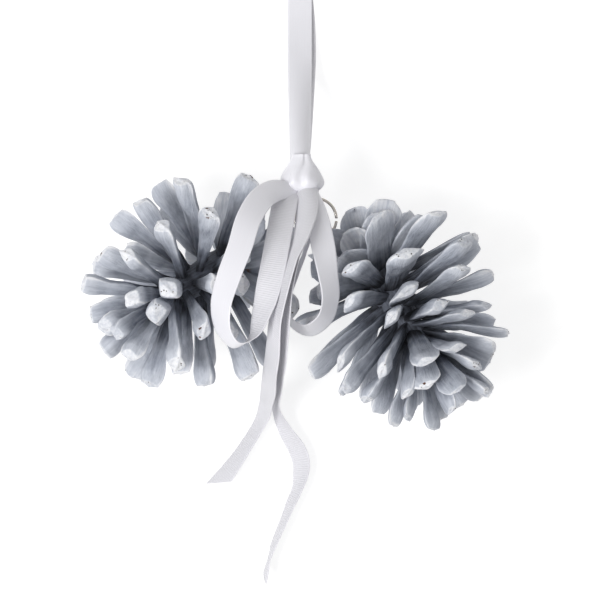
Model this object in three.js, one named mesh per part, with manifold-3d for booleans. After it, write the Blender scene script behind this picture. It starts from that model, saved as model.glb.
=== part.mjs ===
// Two whitewashed pine cones hung by screw eyes from one wire ring, tied with a satin ribbon and bow.
// The pair lies on a table: millimetres, +Z up, table at z = 0, the ribbon's hanging loop towards +Y.
import * as THREE from 'three';
import { mergeVertices } from 'three/addons/utils/BufferGeometryUtils.js';
import Module from 'manifold-3d';

const wasm = await Module();
wasm.setup();
const { lerp, smoothstep, degToRad } = THREE.MathUtils;

// Cone: a woody axis with scales set round it by the golden angle, from the stalk end to the apex.
const GOLDEN_ANGLE = 180 * (3 - Math.sqrt(5));
const AXIS_LENGTH = 58;
const STALK_END = -3;
const CORE_RADIUS = 8;
const SCALE_REACH = 54;
const APEX_REACH = 38;
const PETAL_REACH = 30;
const SCALE_HALF_WIDTH = 9.4;
const APEX_HALF_WIDTH = 7.4;
const PETAL_HALF_WIDTH = 10.5;
const SCALE_HALF_THICKNESS = 4.2;
const APEX_HALF_THICKNESS = 3.8;
const PETAL_HALF_THICKNESS = 1.5;
const STALK_LEAN = 128;
const APEX_LEAN = 9;
const PETALS_UP_TO = 0.19;
const FULL_SCALES_FROM = 0.33;
const REACH_FADE = 1.4;

// How far one scale may differ from the rule: turn and lean in degrees, twist in radians, the rest in shares.
const TURN_PLAY = 8;
const LEAN_PLAY = 7;
const TWIST_PLAY = 0.35;
const REACH_PLAY = 0.09;
const BEND_PLAY = 0.1;
const WIDTH_PLAY = 0.14;
const THICKNESS_PLAY = 0.2;

// Share of a scale's reach, half width and half thickness at each station from root to crown.
const SCALE_STATIONS = [
  { along: 0.08, width: 0.42, thickness: 0.7 },
  { along: 0.6, width: 0.84, thickness: 0.72 },
  { along: 0.86, width: 1, thickness: 1 },
  { along: 0.96, width: 0.72, thickness: 0.64 },
];
const SECTION_SIDES = 6;

// Shares of the core's radius and the axis length, from above the stalk end to the point under the apex.
const CORE_PROFILE = [[1, 0], [1.1, 0.35], [0.8, 0.75], [0.45, 1.02], [0, 1.12]];
const STALK_SHARE = 0.75;
const CORE_SIDES = 10;

const CONES = [
  {
    name: 'cone_left', eye: 'screw_eye_left', side: -1, seed: 12, turn: 248,
    size: 1.06, scales: 54, breadth: 0.74, stoutness: 1.25,
    stalk: [-30.5, 22, 36], apex: [-0.594, -0.346, 0.726],
  },
  {
    name: 'cone_right', eye: 'screw_eye_right', side: 1, seed: 3, turn: 100.5,
    size: 1.045, scales: 80, breadth: 0.92, stoutness: 0.85,
    stalk: [33.5, 23, 41], apex: [0.457, -0.778, 0.431],
  },
];

// The cones press together at an upright plane through the middle, and their scales stop short of it.
const PARTING_NORMAL = new THREE.Vector3(0.98, -0.2, 0);
const PARTING_MARGIN = 1.5;

// A tip that ends this near the table reaches on down to it, and is pressed flat by this much.
const FOOT_REACH = 11;
const FOOT_FLAT = 1.5;

const TABLE_SIZE = [600, 600, 100];

// Scales under the bow stay short: the bow's oval plan, the heights over which they do, and its soft rim.
const BOW_MIDDLE = [-9, 15];
const BOW_HALF_WIDTH = 34;
const BOW_HALF_LENGTH = 42;
const BOW_LOW = 70;
const BOW_HIGH = 90;
const BOW_RIM = [0.8, 1.15];
const BOW_GROWTH = 0.74;

// Ring and screw eyes, bent from bright steel wire. The ring lies level, open by a small gap.
const RING_CENTRE = new THREE.Vector3(8, 41, 37);
const RING_RADIUS = 10.4;
const RING_GAP_FROM = -2;
const RING_GAP = 7;
const WIRE_RADIUS = 0.8;
const EYE_RADIUS = 3.6;
const SHANK_RADIUS = 1;
const SHANK_DEPTH = 8;
const CLEARANCE = 0.4;
const RING_STEPS = 32;
const WIRE_CURVE_SEGMENTS = 3;
const EYE_SIDES = 6;
const EYE_STEPS = 16;
const ROD_SIDES = 8;
const BITE_SIDES = [10, 6];

// Satin ribbon, tied from one length: hanging loop, knot, two bow loops and two tails.
const RIBBON_WIDTH = 12.5;
const RIBBON_THICKNESS = 0.6;
const STEPS_BETWEEN_POINTS = 3;
const TAIL_SLANT = 0.8;
const SLANT_FROM = 0.88;

// Knot: half widths of the wrapped folds at places along Y, from under the bow up to the neck.
const KNOT_PLACE = [1, 0, 62];
const KNOT_PROFILE = [
  [0, 51.5], [5, 52], [8.4, 53.8], [10, 56.2], [10.3, 58.6],
  [9.8, 61.3], [8.2, 64.5], [6.2, 67.8], [4.7, 71], [0, 71.4],
];
const KNOT_DEPTH_SHARE = 0.82;
const KNOT_SIDES = 14;

// Each row of a route: place x, y, z, then the direction across the ribbon, then its share of the width.
const HANGING_LOOP = [
  [0.5, 62.5, 63, 1, 0, 0, 0.62],
  [0, 71, 62.5, 1, 0, 0, 0.74],
  [0, 81, 54, 1, 0, 0, 0.8],
  [0, 95, 37, 1, 0, 0, 0.88],
  [0, 111.5, 19, 1, 0, 0, 0.96],
  [0, 128, 8, 1, 0, 0, 1],
  [0, 144, 3, 1, 0, 0, 1],
  [0, 155.5, 2, 1, 0, 0, 1],
  [0, 161.5, 2, 1, 0, 0, 1],
  [0, 163, 1.2, 1, 0, 0, 1],
  [0, 161.5, 0.5, 1, 0, 0, 1],
  [0.5, 155.5, 0.5, 1, 0, 0, 1],
  [1.5, 144, 1, 1, 0, 0, 1],
  [2, 128, 5.5, 1, 0, 0, 1],
  [1.5, 112, 16, 1, 0, 0, 0.96],
  [1, 95.5, 33.5, 1, 0, 0, 0.88],
  [0.5, 81.5, 50, 1, 0, 0, 0.8],
  [0, 71, 58.5, 1, 0, 0, 0.74],
  [0.5, 63, 59, 1, 0, 0, 0.62],
];
const TIE_ROUND_RING = [
  [3.4, 56, 56, 0.95, 0.3, 0, 0.4],
  [4.7, 51.2, 45, 0.95, 0.3, 0, 0.4],
  [5.5, 48.9, 37, 0.95, 0.3, 0, 0.4],
  [4.9, 50.9, 35, 0.95, 0.3, 0, 0.4],
  [4.3, 52.9, 37, 0.95, 0.3, 0, 0.4],
  [3.6, 55.2, 45, 0.95, 0.3, 0, 0.4],
  [2.8, 58, 56, 0.95, 0.3, 0, 0.4],
];
const LEFT_LOOP = [
  [-2, 56.5, 66, 0.5, -0.8, 0.2, 0.8],
  [-10, 55.5, 75, 0.5, -0.8, 0.2, 0.92],
  [-18.5, 50, 87, 0.68, -0.65, 0.25, 1],
  [-25, 39, 100, 0.82, -0.45, 0.3, 1],
  [-29, 25.5, 108, 0.92, -0.2, 0.3, 1],
  [-34, 12, 112, 0.92, -0.1, 0.35, 1],
  [-38, -2.5, 113, 0.8, -0.05, 0.6, 1],
  [-37, -14.5, 110, 0.6, 0.05, 0.8, 1],
  [-30.5, -22, 107, 0.35, 0.2, 0.9, 1],
  [-23.5, -18.5, 105, 0.4, 0.2, 0.85, 1],
  [-18.5, -6, 104, 0.75, 0.1, 0.6, 1],
  [-14.5, 9.5, 102, 0.93, -0.2, 0.2, 1],
  [-11.2, 26.5, 95, 0.96, -0.2, 0.15, 1],
  [-8.6, 41.5, 82, 0.98, -0.15, 0.1, 1],
  [-6.6, 52, 70, 0.99, -0.1, 0, 1],
  [-4, 57.5, 61, 0.99, -0.1, 0, 0.85],
];
const RIGHT_LOOP = [
  [3.5, 54.5, 66, 0.93, 0.25, -0.1, 0.85],
  [6.5, 47, 75, 0.95, 0.15, -0.2, 0.95],
  [9, 37, 84, 0.95, 0.1, -0.25, 1],
  [11.5, 25.5, 90, 0.93, 0.05, -0.35, 1],
  [13.5, 13.5, 92, 0.8, 0, -0.6, 1],
  [15, 1.5, 91, 0.68, 0, -0.73, 1],
  [12, -9.5, 88, 0.5, -0.3, -0.8, 1],
  [3.5, -15, 86, 0.25, -0.45, -0.85, 1],
  [-5, -10, 85, 0, -0.4, -0.92, 1],
  [-5.5, 0, 84, -0.2, -0.25, -0.95, 1],
  [-2, 11.5, 83, -0.25, -0.25, -0.93, 1],
  [1.5, 21.5, 80, -0.25, -0.25, -0.93, 1],
  [3, 32, 75, -0.2, -0.3, -0.93, 0.95],
  [2.5, 43.5, 68, -0.1, -0.3, -0.95, 0.8],
  [1.5, 54, 61, -0.1, -0.3, -0.95, 0.7],
];
const LEFT_TAIL = [
  [3, 56.5, 68, 0.95, 0.2, 0.05, 0.85],
  [3, 46.5, 79, 0.93, 0.25, 0.15, 0.9],
  [0, 33, 92, 0.75, 0.3, 0.55, 0.95],
  [-4.5, 18.5, 102, 0.5, 0.2, 0.83, 1],
  [-8.5, 4, 106, 0.45, 0.1, 0.88, 1],
  [-12, -10.5, 105, 0.45, 0, 0.88, 1],
  [-13, -22.5, 98, 0.45, -0.35, 0.75, 1],
  [-14.5, -33.5, 79, 0.45, -0.75, 0.45, 1],
  [-15.5, -42, 53, 0.5, -0.8, 0.2, 1],
  [-17, -49, 27, 0.45, -0.75, 0.45, 1],
  [-18.5, -57, 11.5, 0.4, -0.5, 0.7, 1],
  [-21.4, -64.5, 6.5, 0.38, -0.28, 0.85, 1],
  [-26.5, -73, 5.9, 0.4, -0.3, 0.86, 1],
  [-32, -81.5, 5.8, 0.42, -0.38, 0.82, 1],
  [-38, -89.5, 5.7, 0.48, -0.48, 0.74, 1],
  [-42, -94.5, 5.2, 0.52, -0.52, 0.65, 1],
];
const RIGHT_TAIL = [
  [4, 56.5, 64, 0.95, 0.1, 0.1, 0.75],
  [3.5, 46.5, 75, 0.85, 0.1, 0.4, 0.8],
  [0.5, 32.5, 88, 0.5, 0.15, 0.8, 0.9],
  [-2.5, 18.5, 98, 0.3, 0.15, 0.93, 1],
  [-5.5, 4, 102, 0.3, 0.1, 0.93, 1],
  [-7.5, -10.5, 101, 0.4, 0, 0.9, 1],
  [-9, -22.5, 94, 0.4, -0.3, 0.8, 1],
  [-10.5, -32.5, 75, 0.4, -0.75, 0.45, 1],
  [-11.5, -41, 49, 0.35, -0.85, 0.25, 1],
  [-12.5, -49.5, 24, 0.3, -0.6, 0.7, 1],
  [-11.5, -57.5, 10.5, 0.3, 0.05, 0.93, 1],
  [-9.5, -63.5, 7, 0.45, 0.15, 0.88, 1],
  [-6.5, -69.5, 5.9, 0.55, 0.25, 0.8, 1],
  [-2, -76.5, 5, 0.65, 0.3, 0.7, 1],
  [0.6, -83.5, 4.9, 0.7, 0.05, 0.7, 1],
  [0.4, -90, 5.3, 0.6, -0.15, 0.78, 1],
  [-1.6, -98, 6, 0.38, -0.15, 0.91, 1],
  [-5.2, -106, 6.2, 0.33, -0.14, 0.93, 1],
  [-8.6, -114.5, 6.4, 0.26, -0.11, 0.96, 1],
  [-12.3, -123, 6.5, 0.22, -0.09, 0.97, 1],
  [-15.5, -131, 6.5, 0.17, -0.07, 0.98, 1],
  [-18.7, -140.5, 6.4, 0.12, -0.05, 0.99, 0.9],
];

const COLOURS = { paint: 0xc9ccd6, steel: 0xb9b4ab, satin: 0xe6e4ec };

// Repeatable draw from -1 to 1 for a scale and one of its traits.
function draw(seed, index, trait) {
  const wave = Math.sin(seed * 127.1 + index * 311.7 + trait * 74.7) * 43758.5453;
  return 2 * (wave - Math.floor(wave)) - 1;
}

// Closed solid of a geometry, from its positions alone.
function solid(geometry) {
  const bare = new THREE.BufferGeometry();
  bare.setAttribute('position', geometry.getAttribute('position').clone());
  bare.setIndex(geometry.index);
  const merged = mergeVertices(bare, 1e-4);
  return new wasm.Manifold(new wasm.Mesh({
    numProp: 3,
    vertProperties: merged.getAttribute('position').array,
    triVerts: new Uint32Array(merged.index.array),
  }));
}

function geometryOf(manifold) {
  const mesh = manifold.getMesh();
  const geometry = new THREE.BufferGeometry();
  geometry.setAttribute('position', new THREE.BufferAttribute(mesh.vertProperties, 3));
  geometry.setIndex(new THREE.BufferAttribute(mesh.triVerts, 1));
  geometry.computeVertexNormals();
  return geometry;
}

// Moves each vertex of a geometry to where place(point) says.
function shaped(geometry, place) {
  const positions = geometry.getAttribute('position');
  const point = new THREE.Vector3();
  for (let i = 0; i < positions.count; i += 1) {
    point.fromBufferAttribute(positions, i);
    const moved = place(point);
    positions.setXYZ(i, moved.x, moved.y, moved.z);
  }
  return geometry;
}

// Size and lean of the scale at a share of the axis: broad petals at the stalk, long scales, short apex.
function scaleForm(share) {
  const petal = 1 - smoothstep(share, PETALS_UP_TO, FULL_SCALES_FROM);
  const fade = Math.max(0, (share - FULL_SCALES_FROM) / (1 - FULL_SCALES_FROM));
  return {
    reach: lerp(lerp(SCALE_REACH, APEX_REACH, fade ** REACH_FADE), PETAL_REACH, petal),
    halfWidth: lerp(lerp(SCALE_HALF_WIDTH, APEX_HALF_WIDTH, fade), PETAL_HALF_WIDTH, petal),
    halfThickness: lerp(lerp(SCALE_HALF_THICKNESS, APEX_HALF_THICKNESS, fade), PETAL_HALF_THICKNESS, petal),
    lean: Math.acos(lerp(Math.cos(degToRad(STALK_LEAN)), Math.cos(degToRad(APEX_LEAN)), share)),
  };
}

// How far a scale grows before it comes near the other cone.
function growthToNeighbour(cone, root, tip) {
  const rootAway = cone.side * root.dot(PARTING_NORMAL) - PARTING_MARGIN;
  const tipAway = cone.side * tip.dot(PARTING_NORMAL) - PARTING_MARGIN;
  return tipAway < 0 ? rootAway / (rootAway - tipAway) : 1;
}

// How far a scale grows under the bow, by where its tip would come on the table's plan.
function growthUnderBow(tip) {
  const [x, y] = BOW_MIDDLE;
  const off = Math.hypot((tip.x - x) / BOW_HALF_WIDTH, (tip.y - y) / BOW_HALF_LENGTH);
  const height = smoothstep(tip.z, BOW_LOW, BOW_HIGH);
  return lerp(1, BOW_GROWTH, height * (1 - smoothstep(off, ...BOW_RIM)));
}

// One scale in the cone's own frame, whose axis is +Z from the stalk: a six-sided strap with a keeled end.
function scaleGeometry(cone, index) {
  const share = (index + 0.5) / cone.scales;
  const form = scaleForm(share);
  const turn = degToRad(cone.turn + index * GOLDEN_ANGLE + TURN_PLAY * draw(cone.seed, index, 1));
  const lean = form.lean + degToRad(LEAN_PLAY * draw(cone.seed, index, 2));
  const fullReach = form.reach * (1 + REACH_PLAY * draw(cone.seed, index, 3));
  const twist = TWIST_PLAY * draw(cone.seed, index, 5);
  const breadth = cone.breadth * (1 + WIDTH_PLAY * draw(cone.seed, index, 6));
  const stoutness = cone.stoutness * (1 + THICKNESS_PLAY * draw(cone.seed, index, 7));

  const axis = new THREE.Vector3(0, 0, 1);
  const outward = new THREE.Vector3(Math.cos(turn), Math.sin(turn), 0);
  const along = outward.clone().multiplyScalar(Math.sin(lean)).addScaledVector(axis, Math.cos(lean));
  const across = new THREE.Vector3(-Math.sin(turn), Math.cos(turn), 0).applyAxisAngle(along, twist);
  const up = along.clone().cross(across);
  const root = axis.clone().multiplyScalar(share * AXIS_LENGTH);
  const place = conePlace(cone);
  const placedRoot = root.clone().applyMatrix4(place);
  const fullTip = root.clone().addScaledVector(along, fullReach).applyMatrix4(place);
  const isFoot = fullTip.z < FOOT_REACH;
  const growth = isFoot
    ? (placedRoot.z + FOOT_FLAT) / (placedRoot.z - fullTip.z)
    : Math.min(growthToNeighbour(cone, placedRoot, fullTip), growthUnderBow(fullTip));
  const reach = fullReach * growth;
  const bend = isFoot ? 0 : BEND_PLAY * draw(cone.seed, index, 4);

  const bands = SCALE_STATIONS.length - 1;
  return shaped(new THREE.CylinderGeometry(1, 1, bands, SECTION_SIDES, bands), (point) => {
    const station = SCALE_STATIONS[Math.round(point.y + bands / 2)];
    const radial = Math.hypot(point.x, point.z);
    const tip = station === SCALE_STATIONS[bands] && radial < 0.5;
    const distance = reach * (tip ? 1 : station.along);
    return root.clone()
      .addScaledVector(along, distance)
      .addScaledVector(up, bend * distance * distance / reach)
      .addScaledVector(across, point.z * form.halfWidth * breadth * station.width)
      .addScaledVector(up, point.x * form.halfThickness * stoutness * station.thickness);
  });
}

function coreGeometry() {
  const stalk = [new THREE.Vector2(0, STALK_END), new THREE.Vector2(STALK_SHARE * CORE_RADIUS, STALK_END)];
  const body = CORE_PROFILE.map(([wide, high]) => new THREE.Vector2(wide * CORE_RADIUS, high * AXIS_LENGTH));
  return new THREE.LatheGeometry([...stalk, ...body], CORE_SIDES).rotateX(Math.PI / 2);
}

// Where a cone stands: its own +Z turned to the apex direction, scaled, with its stalk end at its place.
function conePlace(cone) {
  const turned = new THREE.Quaternion().setFromUnitVectors(
    new THREE.Vector3(0, 0, 1), new THREE.Vector3(...cone.apex).normalize());
  const size = new THREE.Vector3().setScalar(cone.size);
  return new THREE.Matrix4().compose(new THREE.Vector3(...cone.stalk), turned, size);
}

// Round wire along a row of points.
function wire(points, radius, steps) {
  const section = new THREE.Shape().absarc(0, 0, radius, 0, 2 * Math.PI);
  const extrudePath = new THREE.CatmullRomCurve3(points);
  return new THREE.ExtrudeGeometry(section, { steps, extrudePath, curveSegments: WIRE_CURVE_SEGMENTS });
}

function ringGeometry() {
  const points = [];
  const span = 360 - RING_GAP;
  for (let i = 0; i <= RING_STEPS; i += 1) {
    const angle = degToRad(RING_GAP_FROM + RING_GAP / 2 + span * i / RING_STEPS);
    const spoke = new THREE.Vector3(Math.cos(angle), Math.sin(angle), 0);
    points.push(spoke.multiplyScalar(RING_RADIUS).add(RING_CENTRE));
  }
  return wire(points, WIRE_RADIUS, RING_STEPS);
}

// Where a cone's screw eye sits: its shank runs from the ring's centre line to the middle of the stalk end.
function eyePlace(cone) {
  const stalkEnd = new THREE.Vector3(0, 0, STALK_END).applyMatrix4(conePlace(cone));
  const aim = stalkEnd.clone().sub(RING_CENTRE).normalize();
  const onRing = aim.clone().setZ(0).setLength(RING_RADIUS).add(RING_CENTRE);
  const slack = EYE_RADIUS - 2 * WIRE_RADIUS - CLEARANCE;
  const centre = onRing.addScaledVector(aim, slack);
  const end = stalkEnd.clone().addScaledVector(aim, SHANK_DEPTH);
  return { aim, centre, end };
}

// A rod between two points.
function rod(from, to, radius) {
  const reach = to.clone().sub(from);
  const turned = new THREE.Quaternion().setFromUnitVectors(
    new THREE.Vector3(0, 1, 0), reach.clone().normalize());
  return new THREE.CylinderGeometry(radius, radius, reach.length(), ROD_SIDES)
    .applyQuaternion(turned)
    .translate(...from.clone().lerp(to, 0.5).toArray());
}

function eyeSolid(cone) {
  const { aim, centre, end } = eyePlace(cone);
  const sideways = new THREE.Vector3(-aim.y, aim.x, 0).normalize();
  const turned = new THREE.Quaternion().setFromUnitVectors(new THREE.Vector3(0, 0, 1), sideways);
  const loop = new THREE.TorusGeometry(EYE_RADIUS, WIRE_RADIUS, EYE_SIDES, EYE_STEPS)
    .applyQuaternion(turned)
    .translate(...centre.toArray());
  const neck = centre.clone().addScaledVector(aim, EYE_RADIUS);
  return solid(loop).add(solid(rod(neck, end, SHANK_RADIUS)));
}

// The room that a screw eye takes in its cone: a hole round the shank and a bite round the eye.
function eyeRoom(cone) {
  const { aim, centre, end } = eyePlace(cone);
  const bottom = end.clone().addScaledVector(aim, CLEARANCE);
  const hole = rod(centre, bottom, SHANK_RADIUS + CLEARANCE);
  const bite = new THREE.SphereGeometry(EYE_RADIUS + WIRE_RADIUS + 2 * CLEARANCE, ...BITE_SIDES)
    .translate(...centre.toArray());
  return solid(hole).add(solid(bite));
}

// A flat bar whose two broad faces are split by the same diagonals, so that a twist keeps its thickness.
function flatBar(steps) {
  const bar = new THREE.BoxGeometry(1, 1, 1, 1, 1, steps);
  const under = bar.groups[3];
  const corners = bar.index.array;
  for (let i = under.start; i < under.start + under.count; i += 6) {
    const [a, b, d, , c] = corners.slice(i, i + 5);
    corners.set([a, b, c, a, c, d], i);
  }
  return bar;
}

// A length of ribbon along a route. Towards its end the rows lean over, up to the slant of the cut.
function strip(route, slant = 0) {
  const places = new THREE.CatmullRomCurve3(route.map((row) => new THREE.Vector3(...row.slice(0, 3))));
  const acrosses = new THREE.CatmullRomCurve3(route.map((row) => new THREE.Vector3(...row.slice(3, 6))));
  const shares = new THREE.CatmullRomCurve3(route.map((row) => new THREE.Vector3(row[6], 0, 0)));
  const steps = (route.length - 1) * STEPS_BETWEEN_POINTS;
  return shaped(flatBar(steps), (point) => {
    const t = point.z + 0.5;
    const along = places.getTangent(t);
    const across = acrosses.getPoint(t);
    across.addScaledVector(along, -across.dot(along)).normalize();
    const face = along.clone().cross(across);
    const sideways = point.x * RIBBON_WIDTH * shares.getPoint(t).x;
    return places.getPoint(t)
      .addScaledVector(across, sideways)
      .addScaledVector(face, point.y * RIBBON_THICKNESS)
      .addScaledVector(along, sideways * slant * Math.max(0, t - SLANT_FROM) / (1 - SLANT_FROM));
  });
}

function ribbonSolid() {
  const profile = KNOT_PROFILE.map((place) => new THREE.Vector2(...place));
  const knot = new THREE.LatheGeometry(profile, KNOT_SIDES)
    .scale(1, 1, KNOT_DEPTH_SHARE)
    .translate(...KNOT_PLACE);
  const lengths = [
    strip(HANGING_LOOP), strip(TIE_ROUND_RING), strip(LEFT_LOOP), strip(RIGHT_LOOP),
    strip(LEFT_TAIL, -TAIL_SLANT), strip(RIGHT_TAIL, TAIL_SLANT),
  ];
  return wasm.Manifold.union([knot, ...lengths].map(solid));
}

const group = new THREE.Group();

function addMesh(name, geometry, colour, roughness, metalness) {
  const material = new THREE.MeshStandardMaterial({ color: colour, roughness, metalness });
  const mesh = new THREE.Mesh(geometry, material);
  mesh.name = name;
  group.add(mesh);
}

const table = solid(new THREE.BoxGeometry(...TABLE_SIZE).translate(0, 0, -TABLE_SIZE[2] / 2));

for (const cone of CONES) {
  const place = conePlace(cone);
  const parts = [coreGeometry()];
  for (let i = 0; i < cone.scales; i += 1) parts.push(scaleGeometry(cone, i));
  const grown = wasm.Manifold.union(parts.map((part) => solid(part.applyMatrix4(place))));
  const standing = grown.subtract(table).subtract(eyeRoom(cone));
  addMesh(cone.name, geometryOf(standing), COLOURS.paint, 0.8, 0);
  addMesh(cone.eye, geometryOf(eyeSolid(cone)), COLOURS.steel, 0.25, 1);
}
addMesh('ring', geometryOf(solid(ringGeometry())), COLOURS.steel, 0.25, 1);
addMesh('ribbon', geometryOf(ribbonSolid()), COLOURS.satin, 0.45, 0);

// The origin is the middle of the whole part's box, on the table.
const bounds = new THREE.Box3().setFromObject(group);
const middle = bounds.getCenter(new THREE.Vector3());
group.position.set(-middle.x, -middle.y, -bounds.min.z);

export default group;
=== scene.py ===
# %% [markdown]
# # A pair of whitewashed pine cones tied with a satin ribbon
# The part lies on a table: two open pine cones, each with a screw eye in its stalk end, held by one wire
# ring, and a white satin ribbon that ties them and ends in a bow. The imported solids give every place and
# size. This lesson makes the looks: scales with worn paint, bright wire, and satin that folds and shines.

# %% Load the frame
import math

import bmesh
import bpy
from mathutils import Matrix, Vector, noise


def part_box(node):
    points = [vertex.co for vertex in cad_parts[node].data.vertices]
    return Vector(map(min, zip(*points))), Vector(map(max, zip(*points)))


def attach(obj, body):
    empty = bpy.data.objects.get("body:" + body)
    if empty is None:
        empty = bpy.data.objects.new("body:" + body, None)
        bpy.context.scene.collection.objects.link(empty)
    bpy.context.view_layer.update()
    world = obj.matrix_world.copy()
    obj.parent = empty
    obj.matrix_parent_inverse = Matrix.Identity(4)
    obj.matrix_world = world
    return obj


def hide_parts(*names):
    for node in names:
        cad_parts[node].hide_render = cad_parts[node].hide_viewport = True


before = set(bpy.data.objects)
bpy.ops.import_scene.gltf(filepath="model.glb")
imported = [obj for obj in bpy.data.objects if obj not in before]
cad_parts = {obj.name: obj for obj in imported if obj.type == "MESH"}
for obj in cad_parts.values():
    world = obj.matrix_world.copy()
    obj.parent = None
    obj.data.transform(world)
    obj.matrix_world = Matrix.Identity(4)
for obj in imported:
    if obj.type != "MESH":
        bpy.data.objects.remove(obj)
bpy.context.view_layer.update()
MM = 0.001

# %% [markdown]
# ## Where things are
# The routes and places below are written in millimetres from a working origin on the table, straight under
# the camera. The part's own origin lies elsewhere, so one shift carries every point across. The wire ring
# is a piece whose middle is known in both, and that gives the shift without any fitting.

# %% The shift from working places to the part's frame
RING_CENTRE = Vector((8, 41, 37))
ring_low, ring_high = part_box("ring")
SHIFT = (ring_low + ring_high) / 2 - RING_CENTRE * MM


def at(x, y, z):
    """A working place in millimetres, as a point of the part in metres."""
    return Vector((x, y, z)) * MM + SHIFT


print("shift in mm:", [round(x / MM, 2) for x in SHIFT])

# %% [markdown]
# ## Camera
# The pair lies down, so the camera looks straight down on it. From close by, the upper scales would look
# too large beside the lower ones, so the camera stands far up and has a long lens. The angle of the lens
# follows from the side of the square that fills the picture at the middle level of the cones.

# %% Camera
CAMERA_HEIGHT = 1500
MIDDLE_LEVEL = 55
PICTURE_SIDE = 300
scene = bpy.context.scene
camera = bpy.data.objects.new("camera", bpy.data.cameras.new("camera"))
camera.data.angle = 2 * math.atan(PICTURE_SIDE / 2 / (CAMERA_HEIGHT - MIDDLE_LEVEL))
camera.location = at(0, 0, CAMERA_HEIGHT)
scene.collection.objects.link(camera)
scene.camera = camera
print("lens in mm:", round(camera.data.lens, 1))

# %% [markdown]
# ## Node helpers
# Every finish here is a node tree. A few helpers keep the trees short to write: one makes a node and sets
# its sockets, one starts a material with its shader, and one starts a node group with named sockets. A
# group is used where two finishes share an effect; the shader itself always stays in the material.

# %% Node helpers
NOISE_LOW, NOISE_HIGH = 0.3, 0.7


def add_node(tree, kind, sockets=None, **options):
    """A new node with its options set, and its input sockets set to values or linked to other sockets."""
    node = tree.nodes.new(kind)
    for option, value in options.items():
        setattr(node, option, value)
    for socket, value in (sockets or {}).items():
        if isinstance(value, bpy.types.NodeSocket):
            tree.links.new(value, node.inputs[socket])
        else:
            node.inputs[socket].default_value = value
    return node


def math_node(tree, operation, first, second=0.0):
    return add_node(tree, "ShaderNodeMath", {0: first, 1: second}, operation=operation).outputs[0]


def mix_colours(tree, factor, first, second):
    return add_node(tree, "ShaderNodeMix", {0: factor, 6: first, 7: second}, data_type="RGBA").outputs[2]


def spread(tree, value, low, high, to_low=0.0, to_high=1.0):
    """The value stretched so that low comes out as to_low and high as to_high, with no overshoot."""
    return add_node(tree, "ShaderNodeMapRange", {0: value, 1: low, 2: high, 3: to_low, 4: to_high}).outputs[0]


def noise_node(tree, place, scale, detail=2.0):
    sockets = {"Vector": place, "Scale": scale, "Detail": detail}
    return add_node(tree, "ShaderNodeTexNoise", sockets).outputs["Fac"]


def noise_between(tree, value, low, high):
    """A noise value, which lies mostly from NOISE_LOW to NOISE_HIGH, stretched to lie from low to high."""
    return spread(tree, value, NOISE_LOW, NOISE_HIGH, low, high)


def bump_node(tree, height, strength, distance):
    node = add_node(tree, "ShaderNodeBump", {"Height": height, "Strength": strength, "Distance": distance})
    return node.outputs["Normal"]


def new_material(name):
    material = bpy.data.materials.new(name)
    material.use_nodes = True
    return material, material.node_tree, material.node_tree.nodes["Principled BSDF"]


def new_group(name, inputs, outputs):
    """A shader node group. Inputs are (name, socket kind, value) rows, outputs (name, socket kind) rows."""
    group = bpy.data.node_groups.new(name, "ShaderNodeTree")
    for label, kind, value in inputs:
        group.interface.new_socket(label, in_out="INPUT", socket_type=kind).default_value = value
    for label, kind in outputs:
        group.interface.new_socket(label, in_out="OUTPUT", socket_type=kind)
    return group, group.nodes.new("NodeGroupInput").outputs, group.nodes.new("NodeGroupOutput").inputs


print("node helpers ready")

# %% [markdown]
# ## Studio light
# The light is a white studio. Lamps alone would leave the hollows between the scales black, and an even
# surround would leave their sides without shade. So the surround is bright overhead and dims towards the
# horizon, and one large soft lamp high on the left gives the light a direction.

# %% Studio light
HORIZON_STRENGTH, ZENITH_STRENGTH = 0.2, 0.75
KEY_PLACE, KEY_SIDE, KEY_WATTS = (-650, -250, 1250), 500, 13.0
scene.view_settings.view_transform = "Standard"


def make_surround():
    world = bpy.data.worlds.new("studio")
    world.use_nodes = True
    tree = world.node_tree
    direction = add_node(tree, "ShaderNodeTexCoord").outputs["Generated"]
    height = add_node(tree, "ShaderNodeSeparateXYZ", {0: direction}).outputs["Z"]
    strength = spread(tree, height, 0, 1, HORIZON_STRENGTH, ZENITH_STRENGTH)
    tree.nodes["Background"].inputs["Color"].default_value = (1, 1, 1, 1)
    tree.links.new(strength, tree.nodes["Background"].inputs["Strength"])
    return world


def make_lamp(name, place, side, watts):
    light = bpy.data.lights.new(name, "AREA")
    light.size = side * MM
    light.energy = watts
    lamp = bpy.data.objects.new(name, light)
    lamp.location = at(*place)
    lamp.rotation_euler = (at(0, 0, MIDDLE_LEVEL) - lamp.location).to_track_quat("-Z", "Y").to_euler()
    scene.collection.objects.link(lamp)
    return lamp


scene.world = make_surround()
print("lamp:", make_lamp("key_lamp", KEY_PLACE, KEY_SIDE, KEY_WATTS).name)

# %% [markdown]
# ## Streaks: an effect that paint and satin share
# Brushed paint and woven satin both show fine lines that run one way. The group squeezes a noise along a
# direction: the pattern's coordinates come in, scaled finely across the run and coarsely along it, and a
# soft streak value comes out, with a finer one for bump.

# %% Streak group
FLOAT = "NodeSocketFloat"
VECTOR = "NodeSocketVector"
BROAD_SCALE, FINE_SCALE = 1.0, 3.1
streaks, given, taken = new_group(
    "streaks",
    [("Place", VECTOR, (0, 0, 0)), ("Fineness", VECTOR, (600, 600, 60)), ("Detail", FLOAT, 5.0)],
    [("Broad", FLOAT), ("Fine", FLOAT)],
)
squeezed = add_node(
    streaks, "ShaderNodeVectorMath", {0: given["Place"], 1: given["Fineness"]}, operation="MULTIPLY"
).outputs[0]
streaks.links.new(noise_node(streaks, squeezed, BROAD_SCALE, given["Detail"]), taken["Broad"])
streaks.links.new(noise_node(streaks, squeezed, FINE_SCALE, given["Detail"]), taken["Fine"])


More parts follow.
